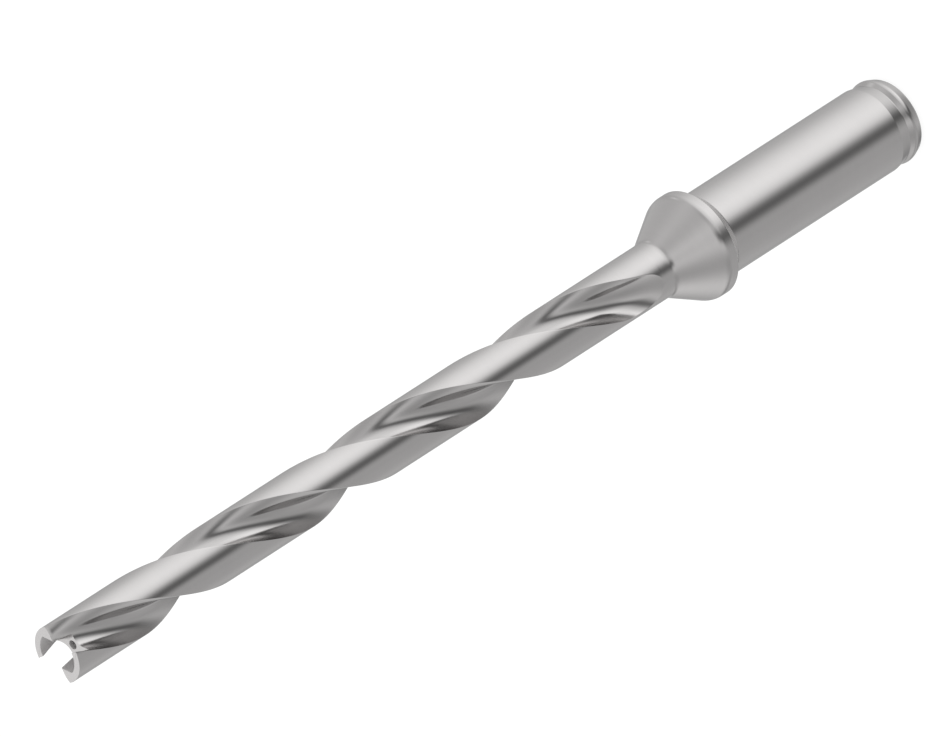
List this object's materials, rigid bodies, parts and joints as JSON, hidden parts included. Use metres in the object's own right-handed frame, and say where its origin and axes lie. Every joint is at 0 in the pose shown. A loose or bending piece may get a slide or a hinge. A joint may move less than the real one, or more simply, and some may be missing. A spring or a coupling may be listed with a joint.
{
  "type": "modular drill body",
  "caption": "Long slender drill body with two helical flutes, a collar with a conical nose, a round grooved shank, and an open end pocket for a separate drilling head.",
  "frame": {"origin": "centre of the shank's flat end face, on the axis", "axes": "+Z along the axis from the shank towards the drilling head, +X along the drive slot of the head pocket, so +Y is square to its two drive faces"},
  "size_m": [0.02, 0.02, 0.2068],
  "materials": {
    "steel": "ground and polished bright hardened tool steel, satin, with fine grinding marks along the flutes and round the shank"
  },
  "bodies": {
    "root": {"drill_body": "steel"}
  },
  "joints": []
}
